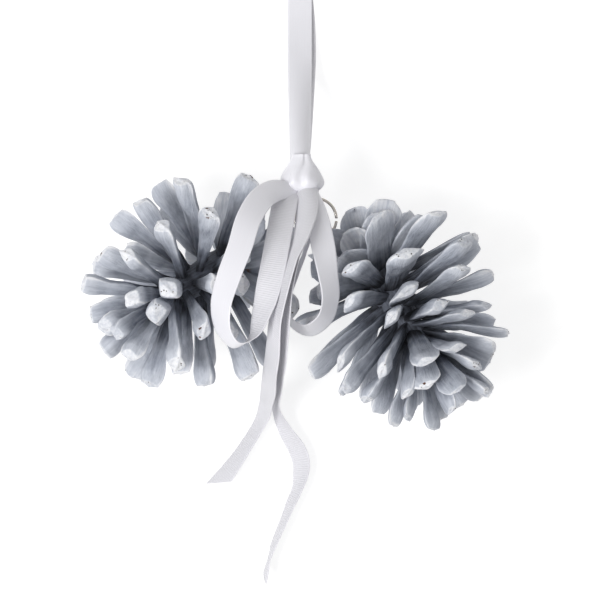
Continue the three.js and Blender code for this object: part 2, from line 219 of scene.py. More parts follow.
def use_streaks(tree, place, fineness, detail):
    sockets = {"Place": place, "Fineness": fineness, "Detail": detail}
    return add_node(tree, "ShaderNodeGroup", node_tree=streaks, sockets=sockets).outputs


print("group:", streaks.name)

# %% [markdown]
# ## Whitewash on woody scales
# Thin white paint was brushed over the dry cones. It lies thick on the shields at the ends of the scales and
# thins to a blue grey along them. Towards the roots between them the colour darkens to near black, which is
# painted shade for the shade that falls deep between the scales. The mesh carries paint and painted shade as
# one attribute, which brush streaks and clouds then break up. Small dark pits and reddish chips show on the
# shields, and bare brown wood at the roots of the stalk's petals. The streaks follow each scale because the
# noise reads the scale's own coordinates, the attribute "grain".

# %% Colours and marks of the whitewash
# The ramp runs from painted shade, near black, for the deep roots between the scales, to thick white paint.
PAINT_AND_SHADE_STOPS = (
    (0.0, (0.030, 0.032, 0.040, 1)),
    (0.22, (0.15, 0.165, 0.205, 1)),
    (0.5, (0.39, 0.415, 0.475, 1)),
    (0.78, (0.60, 0.625, 0.685, 1)),
    (1.0, (0.86, 0.865, 0.89, 1)),
)
PIT_COLOUR = (0.03, 0.02, 0.016, 1)
CHIP_COLOUR = (0.10, 0.032, 0.014, 1)
BARE_WOOD_COLOUR = (0.22, 0.115, 0.06, 1)
PIT_SCALE, PIT_PATCH_SCALE, CHIP_SCALE, CHIP_DETAIL = 620.0, 150.0, 330.0, 3.0
# A mark goes from none to full between the two values of its edge.
PIT_EDGE, PIT_PATCH_EDGE, CHIP_EDGE = (0.26, 0.18), (0.54, 0.6), (0.69, 0.72)


def attribute(tree, name, output="Fac"):
    return add_node(tree, "ShaderNodeAttribute", attribute_name=name).outputs[output]


def paint_and_shade_ramp(tree, cover_and_shade):
    ramp = add_node(tree, "ShaderNodeValToRGB", {0: cover_and_shade})
    stops = ramp.color_ramp.elements
    for place, _ in PAINT_AND_SHADE_STOPS[1:-1]:
        stops.new(place)
    for stop, (place, colour) in zip(stops, PAINT_AND_SHADE_STOPS):
        stop.position = place
        stop.color = colour
    return ramp.outputs["Color"]


def shield_marks(tree, grain):
    """Masks of the small dark pits, which come in patches, and of the chips. Both lie on shields alone."""
    shield = attribute(tree, "shield")
    spots = add_node(tree, "ShaderNodeTexVoronoi", {"Vector": grain, "Scale": PIT_SCALE}).outputs["Distance"]
    pit = math_node(tree, "MULTIPLY", spread(tree, spots, *PIT_EDGE), shield)
    patch = spread(tree, noise_node(tree, grain, PIT_PATCH_SCALE), *PIT_PATCH_EDGE)
    pit = math_node(tree, "MULTIPLY", pit, patch)
    chip = spread(tree, noise_node(tree, grain, CHIP_SCALE, CHIP_DETAIL), *CHIP_EDGE)
    return pit, math_node(tree, "MULTIPLY", chip, shield)


print("colours from bare to full wash:", len(PAINT_AND_SHADE_STOPS))

# %% Whitewash
BRUSH_FINENESS, BRUSH_DETAIL = (800, 800, 45), 6.0
CLOUD_SCALE, CLOUD_DETAIL, CLOUD_RELIEF = 150.0, 4.0, 0.8
STREAK_PLAY, CLOUD_PLAY, BARE_PLAY = 0.09, 0.1, 0.3
BARE_EDGE = (0.45, 0.75)
WASH_ROUGHNESS, WASH_GLOSS = (0.62, 0.86), 0.3
WASH_BUMP, WASH_BUMP_DISTANCE = 0.8, 0.8 * MM


def around_middle(tree, value, play):
    return noise_between(tree, value, -play, play)


def whitewash():
    material, tree, shader = new_material("whitewash")
    grain = attribute(tree, "grain", "Vector")
    brush = use_streaks(tree, grain, BRUSH_FINENESS, BRUSH_DETAIL)
    cloud = noise_node(tree, grain, CLOUD_SCALE, CLOUD_DETAIL)
    # The attribute runs from painted shade at the roots to thick paint on the shields.
    cover_and_shade = math_node(tree, "ADD", attribute(tree, "paint_and_shade"), around_middle(tree, brush["Broad"], STREAK_PLAY))
    cover_and_shade = math_node(tree, "ADD", cover_and_shade, around_middle(tree, cloud, CLOUD_PLAY))
    bare = math_node(tree, "ADD", attribute(tree, "bare"), around_middle(tree, cloud, BARE_PLAY))
    pit, chip = shield_marks(tree, grain)
    colour = mix_colours(tree, spread(tree, bare, *BARE_EDGE), paint_and_shade_ramp(tree, cover_and_shade), BARE_WOOD_COLOUR)
    colour = mix_colours(tree, pit, colour, PIT_COLOUR)
    colour = mix_colours(tree, chip, colour, CHIP_COLOUR)
    tree.links.new(colour, shader.inputs["Base Color"])
    tree.links.new(noise_between(tree, brush["Fine"], *WASH_ROUGHNESS), shader.inputs["Roughness"])
    shader.inputs["Specular IOR Level"].default_value = WASH_GLOSS

    height = math_node(tree, "ADD", brush["Fine"], math_node(tree, "MULTIPLY", cloud, CLOUD_RELIEF))
    height = math_node(tree, "SUBTRACT", height, math_node(tree, "MAXIMUM", pit, chip))
    tree.links.new(bump_node(tree, height, WASH_BUMP, WASH_BUMP_DISTANCE), shader.inputs["Normal"])
    return material


whitewash_finish = whitewash()
print("finish:", whitewash_finish.name)

# %% [markdown]
# ## Bright nickel
# The ring and the screw eyes are bent from plated wire: a metal with a low roughness, so that it mirrors
# the pale studio with soft edges. A faint unevenness keeps the highlight from looking drawn.

# %% Nickel
NICKEL_COLOUR = (0.66, 0.62, 0.57, 1)
NICKEL_ROUGHNESS, DULL_SCALE = (0.12, 0.18), 300.0


def nickel():
    material, tree, shader = new_material("nickel")
    place = add_node(tree, "ShaderNodeTexCoord").outputs["Object"]
    dull = noise_node(tree, place, DULL_SCALE)
    shader.inputs["Base Color"].default_value = NICKEL_COLOUR
    shader.inputs["Metallic"].default_value = 1.0
    tree.links.new(noise_between(tree, dull, *NICKEL_ROUGHNESS), shader.inputs["Roughness"])
    return material


nickel_finish = nickel()
print("finish:", nickel_finish.name)

# %% [markdown]
# ## Satin, face and back
# A satin ribbon has a smooth, lustrous face and a duller back with fine ribs across it. Both read the
# ribbon's own UV map, which is laid out in metres: across the ribbon, then along it. A narrow selvedge at
# each edge is smoother and brighter than the rest.

# %% Satin
FULL_TURN = 2 * math.pi
RIBBON_WIDTH = 12.5 * MM
RIB_PITCH = 1.1 * MM
SELVEDGE, SELVEDGE_FADE = 0.9 * MM, 0.6
THREAD_FINENESS, THREAD_DETAIL = (3000, 60, 1), 3.0
THREAD_SHADE, RIB_SHADE, SELVEDGE_SHADE = (0.45, 0.55), 0.16, 0.3
DARK_SHARE, LIGHT_SHARE = 0.86, 1.12
ROUGHNESS_PLAY, SHEEN, SHEEN_ROUGHNESS = 0.05, 0.15, 0.35
THREAD_RELIEF, SATIN_BUMP, SATIN_BUMP_DISTANCE = 0.3, 0.4, 0.15 * MM


def satin(name, colour, roughness, rib_depth):
    material, tree, shader = new_material(name)
    flat = add_node(tree, "ShaderNodeUVMap", uv_map="flat").outputs["UV"]
    across, along, _ = add_node(tree, "ShaderNodeSeparateXYZ", {0: flat}).outputs
    thread = use_streaks(tree, flat, THREAD_FINENESS, THREAD_DETAIL)
    to_edge = math_node(tree, "SUBTRACT", RIBBON_WIDTH / 2, math_node(tree, "ABSOLUTE", across))
    edge = spread(tree, to_edge, SELVEDGE, SELVEDGE * SELVEDGE_FADE)
    inside = math_node(tree, "SUBTRACT", rib_depth, math_node(tree, "MULTIPLY", edge, rib_depth))
    wave = math_node(tree, "SINE", math_node(tree, "MULTIPLY", along, FULL_TURN / RIB_PITCH))
    ribs = math_node(tree, "MULTIPLY", wave, inside)

    shade = noise_between(tree, thread["Broad"], *THREAD_SHADE)
    shade = math_node(tree, "ADD", shade, math_node(tree, "MULTIPLY", ribs, RIB_SHADE))
    shade = math_node(tree, "ADD", shade, math_node(tree, "MULTIPLY", edge, SELVEDGE_SHADE))
    darker = tuple(DARK_SHARE * channel for channel in colour) + (1,)
    lighter = tuple(min(1.0, LIGHT_SHARE * channel) for channel in colour) + (1,)
    tree.links.new(mix_colours(tree, shade, darker, lighter), shader.inputs["Base Color"])
    rough = noise_between(tree, thread["Fine"], roughness - ROUGHNESS_PLAY, roughness + ROUGHNESS_PLAY)
    tree.links.new(rough, shader.inputs["Roughness"])
    shader.inputs["Sheen Weight"].default_value = SHEEN
    shader.inputs["Sheen Roughness"].default_value = SHEEN_ROUGHNESS
    height = math_node(tree, "ADD", math_node(tree, "MULTIPLY", thread["Fine"], THREAD_RELIEF), ribs)
    tree.links.new(bump_node(tree, height, SATIN_BUMP, SATIN_BUMP_DISTANCE), shader.inputs["Normal"])
    return material


satin_face = satin("satin_face", colour=(0.77, 0.765, 0.805), roughness=0.42, rib_depth=0.0)
satin_back = satin("satin_back", colour=(0.69, 0.685, 0.72), roughness=0.55, rib_depth=1.0)
print("finishes:", satin_face.name, satin_back.name)

# %% [markdown]
# ## The growth rule of a cone
# Scales grow round the axis by the golden angle, from the stalk to the apex: thin broad petals first, which
# bend back over the stalk, then long scales, then shorter ones that close up over the apex. Small
# repeatable draws make each one differ. Tips near the table reach down to it, and tips near the other cone
# or under the bow stop short. The left cone has stout fingers with narrow necks and full ends, the right one
# flatter blades with pointed ends: breadth, stoutness, neck and taper say so.

# %% Cone constants
GOLDEN_ANGLE = math.radians(180 * (3 - math.sqrt(5)))
AXIS_LENGTH = 58
STALK_END = -3
CORE_RADIUS = 8
REACHES = {"full": 54, "apex": 38, "petal": 30}
HALF_WIDTHS = {"full": 9.4, "apex": 7.4, "petal": 10.5}
HALF_THICKNESSES = {"full": 4.2, "apex": 3.8, "petal": 1.5}
STALK_LEAN, APEX_LEAN = math.radians(128), math.radians(9)
PETALS_UP_TO, FULL_SCALES_FROM, REACH_FADE = 0.19, 0.33, 1.4
DRAW_STRIDES, DRAW_STRETCH = (127.1, 311.7, 74.7), 43758.5453
TURN, LEAN, REACH, BEND, TWIST, WIDTH, THICKNESS = range(1, 8)
TURN_PLAY, LEAN_PLAY, TWIST_PLAY = math.radians(8), math.radians(7), 0.35
REACH_PLAY, BEND_PLAY, WIDTH_PLAY, THICKNESS_PLAY = 0.09, 0.1, 0.14, 0.2
PARTING_NORMAL, PARTING_MARGIN = Vector((0.98, -0.2, 0)), 1.5
FOOT_REACH, FOOT_FLAT = 11, 1.5
BOW_MIDDLE, BOW_HALF_WIDTH, BOW_HALF_LENGTH = (-9, 15), 34, 42
BOW_LOW, BOW_HIGH, BOW_GROWTH, BOW_RIM = 70, 90, 0.74, (0.8, 1.15)
CONES = {
    "cone_left": {
        "side": -1, "seed": 12, "turn": 248, "size": 1.06, "scales": 54,
        "breadth": 0.74, "stoutness": 1.25, "taper": 0.9, "neck": 1.5,
        "stalk": (-30.5, 22, 36), "apex": (-0.594, -0.346, 0.726),
    },
    "cone_right": {
        "side": 1, "seed": 3, "turn": 100.5, "size": 1.045, "scales": 80,
        "breadth": 0.92, "stoutness": 0.85, "taper": 1.5, "neck": 1.0,
        "stalk": (33.5, 23, 41), "apex": (0.457, -0.778, 0.431),
    },
}


def blend(first, second, share):
    return first + (second - first) * share


def smooth_step(value, low, high):
    share = min(1.0, max(0.0, (value - low) / (high - low)))
    return share * share * (3 - 2 * share)


def draw(seed, index, trait):
    """A repeatable draw from -1 to 1 for a scale and one of its traits."""
    by_seed, by_index, by_trait = DRAW_STRIDES
    wave = math.sin(seed * by_seed + index * by_index + trait * by_trait) * DRAW_STRETCH
    return 2 * (wave - math.floor(wave)) - 1


def cone_place(cone):
    turned = Vector((0, 0, 1)).rotation_difference(Vector(cone["apex"]).normalized())
    return Matrix.Translation(cone["stalk"]) @ turned.to_matrix().to_4x4() @ Matrix.Scale(cone["size"], 4)


print("scales:", {name: cone["scales"] for name, cone in CONES.items()})

# %% Where one scale stands, and how far it grows
def growth_to_neighbour(cone, root, tip):
    root_away = cone["side"] * root.dot(PARTING_NORMAL) - PARTING_MARGIN
    tip_away = cone["side"] * tip.dot(PARTING_NORMAL) - PARTING_MARGIN
    return root_away / (root_away - tip_away) if tip_away < 0 else 1.0


def growth_under_bow(tip):
    off = math.hypot((tip.x - BOW_MIDDLE[0]) / BOW_HALF_WIDTH, (tip.y - BOW_MIDDLE[1]) / BOW_HALF_LENGTH)
    return blend(1, BOW_GROWTH, smooth_step(tip.z, BOW_LOW, BOW_HIGH) * (1 - smooth_step(off, *BOW_RIM)))


def between_forms(measure, fade, petal):
    return blend(blend(measure["full"], measure["apex"], fade), measure["petal"], petal)


def scale_form(cone, index):
    """Size and place of one scale, in millimetres. Its own frame is (across, up, along) from its root."""
    seed = cone["seed"]
    share = (index + 0.5) / cone["scales"]
    petal = 1 - smooth_step(share, PETALS_UP_TO, FULL_SCALES_FROM)
    fade = max(0.0, (share - FULL_SCALES_FROM) / (1 - FULL_SCALES_FROM))
    reach = between_forms(REACHES, fade ** REACH_FADE, petal)
    reach *= 1 + REACH_PLAY * draw(seed, index, REACH)
    turn = math.radians(cone["turn"]) + index * GOLDEN_ANGLE + TURN_PLAY * draw(seed, index, TURN)
    lean = math.acos(blend(math.cos(STALK_LEAN), math.cos(APEX_LEAN), share))
    lean += LEAN_PLAY * draw(seed, index, LEAN)
    along = Vector((math.cos(turn) * math.sin(lean), math.sin(turn) * math.sin(lean), math.cos(lean)))
    twist = Matrix.Rotation(TWIST_PLAY * draw(seed, index, TWIST), 3, along)
    across = twist @ Vector((-math.sin(turn), math.cos(turn), 0))
    root = Vector((0, 0, share * AXIS_LENGTH))
    placed_root = cone_place(cone) @ root
    full_tip = cone_place(cone) @ (root + along * reach)
    is_foot = full_tip.z < FOOT_REACH
    if is_foot:
        growth = (placed_root.z + FOOT_FLAT) / (placed_root.z - full_tip.z)
    else:
        growth = min(growth_to_neighbour(cone, placed_root, full_tip), growth_under_bow(full_tip))
    half_width = between_forms(HALF_WIDTHS, fade, petal) * cone["breadth"]
    half_thickness = between_forms(HALF_THICKNESSES, fade, petal) * cone["stoutness"]
    axes = Matrix((across, along.cross(across), along)).transposed().to_4x4()
    return {
        "petal": petal,
        "reach": reach * growth,
        "bend": 0 if is_foot else BEND_PLAY * draw(seed, index, BEND),
        "half_width": half_width * (1 + WIDTH_PLAY * draw(seed, index, WIDTH)),
        "half_thickness": half_thickness * (1 + THICKNESS_PLAY * draw(seed, index, THICKNESS)),
        "place": cone_place(cone) @ Matrix.Translation(root) @ axes,
    }


print("first scale reaches", round(scale_form(CONES["cone_left"], 0)["reach"], 1), "mm")

# %% [markdown]
# ## The form of one scale
# A scale is a long blade. Its back has a blunt ridge, its inner face two shallow seed beds beside a midrib,
# and it swells towards the end, which is cut off by a rhombic shield with a low keel across it and a small
# boss in the middle. All of that is one closed skin, so a sphere of rings is the best start: each ring
# becomes a station along the scale, the last rings close over the shield, and the poles close both ends.
# Everything that does not differ from scale to scale is worked out once, for each vertex of that sphere.
# Edges marked sharp round the shield and along both sides keep those creases crisp.

# %% Stations along a scale
SIDES = 32
BODY_START, BODY_END, RIM = 0.06, 0.84, 0.965
BODY_RINGS = 11
SHOULDER = ((0.88, 0.99), (0.912, 0.955), (0.938, 0.895), (0.956, 0.82), (RIM, 0.75))
SHIELD_RADII = (0.66, 0.55, 0.44, 0.33, 0.22, 0.13, 0.06)
STATIONS = [(BODY_START, 0.0)]
STATIONS += [(blend(BODY_START, BODY_END, ring / (BODY_RINGS - 1)), 1.0) for ring in range(BODY_RINGS)]
STATIONS += [*SHOULDER, *((RIM, radius) for radius in SHIELD_RADII), (RIM, 0.0)]
RINGS = len(STATIONS) - 1
FIRST_SHOULDER_RING = BODY_RINGS + 1
FIRST_SHIELD_RING = BODY_RINGS + len(SHOULDER)
WIDTH_STOPS = ((0.0, 0.38), (0.08, 0.42), (0.45, 0.68), (0.65, 0.8), (0.8, 0.96), (0.87, 1.0), (1.0, 1.0))
THICKNESS_STOPS = ((0.0, 0.66), (0.08, 0.7), (0.5, 0.66), (0.68, 0.74), (0.84, 1.0), (1.0, 1.0))
PETAL_STOPS = (
    (0.0, 0.3), (0.2, 0.55), (0.45, 0.9), (0.62, 1.0), (0.76, 0.97), (0.86, 0.86), (0.93, 0.72), (1.0, 0.6),
)


def along_stops(stops, where):
    """The value at a place along a row of (place, value) stops."""
    for (low, low_value), (high, high_value) in zip(stops, stops[1:]):
        if where <= high:
            return blend(low_value, high_value, max(0.0, (where - low) / (high - low)))
    return stops[-1][1]


print("rings on a scale:", RINGS, "sides:", SIDES)

# %% Sections, and the face of the shield
RHOMB_POINT, RHOMB_FULLNESS, RHOMB_SPAN = 1.5, 0.85, (0.5, 0.88)
ARCH_HEIGHT, RIDGE_HEIGHT, MIDRIB_HEIGHT, MIDRIB_WIDTH = 0.55, 0.45, 0.25, 0.2
DOME_RISE, KEEL_RISE, BOSS_RISE, KEEL_WIDTH, BOSS_WIDTH = 0.35, 0.3, 0.3, 0.2, 0.16


def rhomb(side):
    """Half height of the shield's rounded rhomb at a place from edge to edge."""
    return max(0.0, 1 - abs(side) ** RHOMB_POINT) ** RHOMB_FULLNESS


def section_height(where, side, is_inner):
    """Half height of the scale's section, as a share of its half thickness."""
    arch = math.sqrt(max(0.0, 1 - side * side))
    midrib = MIDRIB_HEIGHT * math.exp(-((side / MIDRIB_WIDTH) ** 2))
    body = ARCH_HEIGHT * arch + (midrib if is_inner else RIDGE_HEIGHT * (1 - abs(side)))
    return blend(body, rhomb(side), smooth_step(where, *RHOMB_SPAN))


def shield_rise(radius, height):
    """How far the shield's face stands out past the rim, from 0 to 1."""
    dome = 1 - radius * radius
    keel = math.exp(-((radius * height / KEEL_WIDTH) ** 2))
    boss = math.exp(-((radius / BOSS_WIDTH) ** 2))
    return DOME_RISE * dome + KEEL_RISE * keel * dome + BOSS_RISE * boss


print("middle of a shield stands out by", round(shield_rise(0, 0), 2), "of the room past its rim")

# %% What all scales have in common
CHIPS_ROUND = 1.6
SIDE_EDGE, BODY_RADIUS = 0.999, 0.9


def scale_template():
    """A sphere of rings, and for each of its vertices what every scale has in common there."""
    bm = bmesh.new()
    bmesh.ops.create_uvsphere(bm, u_segments=SIDES, v_segments=RINGS, radius=1)
    bm.verts.index_update()
    spots = []
    for vert in bm.verts:
        ring = RINGS - round(math.acos(max(-1.0, min(1.0, vert.co.z))) / math.pi * RINGS)
        where, radius = STATIONS[ring]
        angle = math.atan2(vert.co.y, vert.co.x)
        side = math.cos(angle)
        height = section_height(where, side, angle > 0)
        spots.append({
            "ring": ring, "where": where, "radius": radius, "side": side, "is_back": angle < 0,
            "is_end": ring >= FIRST_SHOULDER_RING, "is_shield": ring >= FIRST_SHIELD_RING,
            "around": Vector((side, math.sin(angle), 0)) * CHIPS_ROUND,
            "height": math.copysign(height * along_stops(THICKNESS_STOPS, where), angle),
            "petal_height": math.sin(angle),
            "wide": along_stops(WIDTH_STOPS, where), "petal_wide": along_stops(PETAL_STOPS, where),
            "rise": shield_rise(radius, height), "petal_rise": math.sqrt(1 - radius * radius),
        })
    for face in bm.faces:
        face.smooth = True
    for edge in bm.edges:
        ends = [spots[vert.index] for vert in edge.verts]
        is_rim = all(spot["ring"] == FIRST_SHIELD_RING - 1 for spot in ends)
        is_side = all(abs(spot["side"]) > SIDE_EDGE and spot["radius"] > BODY_RADIUS for spot in ends)
        edge.smooth = not (is_rim or is_side)
    mesh = bpy.data.meshes.new("scale_template")
    bm.to_mesh(mesh)
    bm.free()
    return mesh, spots


template_mesh, SPOTS = scale_template()
print("vertices on a scale:", len(SPOTS))

# %% [markdown]
# ## One scale and its paint
# A scale takes the common form and adds what is its own: size, bend, a lean of the shield, a skew to one
# side, small chips in the rim and a slow wobble. Petals are cupped. The paint is told here too, because it
# depends on the same places: painted shade, near black, at the root, then paint that grows thick on the
# shield and lighter along the edges. The noise is given a seed, because its vectors otherwise start from
# the clock and differ from run to run.

# %% One scale
PETAL_CUP = 3.4
TILT_PLAY, SKEW_PLAY = 0.35, 0.25
WOBBLE, WOBBLE_SIZE = 1.0, 11.0
CHIP_DEPTH = 0.22
# The low values at the roots of scales and petals are painted shade, near black, where the scales close over
# each other.
ROOT_SHADE, BODY_WASH, SWELL_WASH, EDGE_WASH, BACK_SHADE = 0.02, 0.46, 0.22, 0.34, 0.07
PETAL_ROOT_SHADE, PETAL_WASH, SHIELD_WASH, TONE_PLAY = 0.08, 0.84, 0.9, 0.08
BODY_SPAN, SWELL_SPAN, EDGE_SPAN, PETAL_SPAN = (0.12, 0.74), (0.74, 0.96), (0.3, 0.7), (0.1, 0.65)
BARE_SPAN, WOBBLE_SPAN, EDGE_NARROWNESS = (0.15, 0.45), (0.1, 0.5), 10
GRAIN, TONE, TILT, SKEW = (8, 9, 10), 11, 12, 13
GRAIN_SPREAD = 40
NOISE_SEED = 7
noise.seed_set(NOISE_SEED)


def paint_and_shade_at(spot, share, petal, tone):
    """Paint and painted shade at a share of the scale's reach, from 0 (painted shade) to 1 (thick paint)."""
    body = ROOT_SHADE + BODY_WASH * smooth_step(share, *BODY_SPAN)
    body += SWELL_WASH * smooth_step(share, *SWELL_SPAN)
    body += EDGE_WASH * spot["side"] ** EDGE_NARROWNESS * smooth_step(share, *EDGE_SPAN)
    body -= BACK_SHADE * spot["is_back"]
    body = blend(body, blend(PETAL_ROOT_SHADE, PETAL_WASH, smooth_step(share, *PETAL_SPAN)), petal)
    return blend(body, SHIELD_WASH, spot["is_shield"] * (1 - petal)) + TONE_PLAY * tone


def lay_scale(cone, index, skin):
    form = scale_form(cone, index)
    seed, petal, reach = cone["seed"], form["petal"], form["reach"]
    offset = Vector([draw(seed, index, trait) for trait in GRAIN]) * GRAIN_SPREAD
    tone = draw(seed, index, TONE)
    tilt = TILT_PLAY * draw(seed, index, TILT) * (1 - petal)
    skew = SKEW_PLAY * draw(seed, index, SKEW) * (1 - petal)
    for spot in SPOTS:
        radius, where, side = spot["radius"], spot["where"], spot["side"]
        if spot["is_end"]:
            radius **= blend(cone["taper"], 1, petal)
            radius *= 1 - CHIP_DEPTH * max(0.0, noise.noise(offset + spot["around"]))
        wide = form["half_width"] * blend(spot["wide"] ** cone["neck"], spot["petal_wide"], petal)
        x = radius * (side + skew * (1 - side * side)) * wide
        y = radius * form["half_thickness"] * blend(spot["height"], spot["petal_height"], petal)
        z = where * reach
        if spot["is_end"]:
            z += tilt * y
        if spot["is_shield"]:
            z += (1 - RIM) * reach * blend(spot["rise"], spot["petal_rise"], petal)
        y += form["bend"] * z * z / reach + petal * PETAL_CUP * (x / form["half_width"]) ** 2
        own = Vector((x, y, z))
        own += WOBBLE * smooth_step(where, *WOBBLE_SPAN) * noise.noise_vector((own + offset) / WOBBLE_SIZE)
        skin["points"].append(form["place"] @ own)
        skin["grain"].append((own + offset) * MM)
        skin["paint_and_shade"].append(paint_and_shade_at(spot, where, petal, tone))
        skin["shield"].append(spot["is_shield"] * (1 - petal))
        skin["bare"].append(petal * (1 - smooth_step(where, *BARE_SPAN)))


print("chips go in by", CHIP_DEPTH, "of a shield's radius")

# %% [markdown]
# ## A whole cone
# The woody axis is a profile turned with spin. An object for each scale would be easy to make, but a cone
# grew as one piece, so the scales join the axis in one mesh, and their places and paint are set on that
# mesh all at once. Tips that reach the table are pressed flat on it, as the solids are.

# %% The woody axis, and an object from a bmesh
CORE_PROFILE = ((0.75, -0.05), (1.0, 0.0), (1.1, 0.35), (0.8, 0.75), (0.45, 1.02))
CORE_STEPS = 24


def add_core(bm):
    row = [bm.verts.new((wide * CORE_RADIUS, 0, high * AXIS_LENGTH)) for wide, high in CORE_PROFILE]
    edges = [bm.edges.new(pair) for pair in zip(row, row[1:])]
    bmesh.ops.spin(bm, geom=row + edges, axis=(0, 0, 1), cent=(0, 0, 0), angle=FULL_TURN,
                   steps=CORE_STEPS, use_merge=True)
    bmesh.ops.holes_fill(bm, edges=[edge for edge in bm.edges if edge.is_boundary], sides=CORE_STEPS)
    bmesh.ops.recalc_face_normals(bm, faces=bm.faces)


def make_object(name, bm, *materials):
    mesh = bpy.data.meshes.new(name)
    bm.to_mesh(mesh)
    bm.free()
    for material in materials:
        mesh.materials.append(material)
    piece = bpy.data.objects.new(name, mesh)
    scene.collection.objects.link(piece)
    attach(piece, "root")
    return piece


print("rings on the axis:", len(CORE_PROFILE))

# %% Cones
# The axis takes a low value of the same ramp: painted shade, deep among the scales.
CORE_SHADE = 0.12


def make_cone(name, cone):
    bm = bmesh.new()
    add_core(bm)
    core = [vert.co.copy() for vert in bm.verts]
    skin = {
        "points": [cone_place(cone) @ point for point in core],
        "grain": [point * MM for point in core],
        "paint_and_shade": [CORE_SHADE] * len(core),
        "shield": [0.0] * len(core),
        "bare": [0.0] * len(core),
    }
    for index in range(cone["scales"]):
        bm.from_mesh(template_mesh)
        lay_scale(cone, index, skin)
    piece = make_object(name + "_scales", bm, whitewash_finish)
    pressed = [at(point.x, point.y, max(0.0, point.z)) for point in skin["points"]]
    piece.data.vertices.foreach_set("co", [value for point in pressed for value in point])
    grain = piece.data.attributes.new("grain", "FLOAT_VECTOR", "POINT")
    grain.data.foreach_set("vector", [value for point in skin["grain"] for value in point])
    for label in ("paint_and_shade", "shield", "bare"):
        piece.data.attributes.new(label, "FLOAT", "POINT").data.foreach_set("value", skin[label])
    piece.data.update()
    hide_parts(name)
    return piece


cone_pieces = [make_cone(name, cone) for name, cone in CONES.items()]
bpy.data.meshes.remove(template_mesh)
print("faces:", {piece.name: len(piece.data.polygons) for piece in cone_pieces})

# %% [markdown]
# ## Wire ring and screw eyes
# Both are round wire. A curve with a round bevel could make them, but a circle spun along an arc gives the
# full turn and the open one alike. The ring stays open by a small gap, with its two cut ends capped. An eye
# is a full turn of wire with a straight shank that runs into the stalk end.

# %% Wire pieces
RING_RADIUS, RING_GAP_FROM, RING_GAP = 10.4, -2, 7
WIRE_RADIUS, EYE_RADIUS, SHANK_RADIUS, SHANK_DEPTH, CLEARANCE = 0.8, 3.6, 1, 8, 0.4
SHANK_TAPER = 0.7
WIRE_SIDES, RING_STEPS, EYE_STEPS = 20, 96, 48
MERGE_DISTANCE, ANGLE_TOLERANCE = 1e-4, 1e-6


def wire_arc(bm, radius, start, sweep, steps):
    """In an empty bmesh, a wire bent round Z from a start angle through a sweep. A full turn has no caps."""
    is_full = abs(sweep - FULL_TURN) < ANGLE_TOLERANCE
    upright = Matrix.Rotation(math.pi / 2, 4, "X")
    stand = Matrix.Rotation(start, 4, "Z") @ Matrix.Translation((radius, 0, 0)) @ upright
    bmesh.ops.create_circle(bm, cap_ends=not is_full, segments=WIRE_SIDES, radius=WIRE_RADIUS, matrix=stand)
    geom = [*bm.verts, *bm.edges, *bm.faces]
    bmesh.ops.spin(bm, geom=geom, axis=(0, 0, 1), cent=(0, 0, 0), angle=sweep,
                   steps=steps, use_merge=is_full)
    bmesh.ops.remove_doubles(bm, verts=bm.verts, dist=MERGE_DISTANCE)


def finish_wire(name, bm, node):
    bmesh.ops.recalc_face_normals(bm, faces=bm.faces)
    for face in bm.faces:
        face.smooth = len(face.verts) == 4
    for vert in bm.verts:
        vert.co = at(*vert.co)
    piece = make_object(name, bm, nickel_finish)
    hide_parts(node)
    return piece


def make_ring():
    bm = bmesh.new()
    start = math.radians(RING_GAP_FROM + RING_GAP / 2)
    wire_arc(bm, RING_RADIUS, start, math.radians(360 - RING_GAP), RING_STEPS)
    bmesh.ops.translate(bm, vec=RING_CENTRE, verts=bm.verts)
    return finish_wire("wire_ring", bm, "ring")


def make_eye(side, cone):
    stalk_end = cone_place(cone) @ Vector((0, 0, STALK_END))
    aim = (stalk_end - RING_CENTRE).normalized()
    on_ring = RING_CENTRE + Vector((aim.x, aim.y, 0)).normalized() * RING_RADIUS
    centre = on_ring + aim * (EYE_RADIUS - 2 * WIRE_RADIUS - CLEARANCE)
    bm = bmesh.new()
    wire_arc(bm, EYE_RADIUS, 0, FULL_TURN, EYE_STEPS)
    flat = Vector((-aim.y, aim.x, 0)).normalized()
    stand = Matrix((aim, flat.cross(aim), flat)).transposed().to_4x4()
    bmesh.ops.transform(bm, matrix=Matrix.Translation(centre) @ stand, verts=bm.verts)
    neck = centre + aim * EYE_RADIUS
    end = stalk_end + aim * SHANK_DEPTH
    turned = Vector((0, 0, 1)).rotation_difference(aim).to_matrix().to_4x4()
    bmesh.ops.create_cone(bm, cap_ends=True, segments=WIRE_SIDES, depth=(end - neck).length,
                          radius1=SHANK_RADIUS, radius2=SHANK_RADIUS * SHANK_TAPER,
                          matrix=Matrix.Translation((neck + end) / 2) @ turned)
    return finish_wire("wire_eye_" + side, bm, "screw_eye_" + side)


wire_pieces = [make_ring(), make_eye("left", CONES["cone_left"]), make_eye("right", CONES["cone_right"])]
print("wire pieces:", [piece.name for piece in wire_pieces])

# %% [markdown]
# ## The ribbon's routes
# The ribbon was tied from one length. Each stretch of it is a list of given places, with the
# direction across the ribbon and the share of its width that shows, because it is gathered at the knot.
# A curve through the places gives the stretch its line.

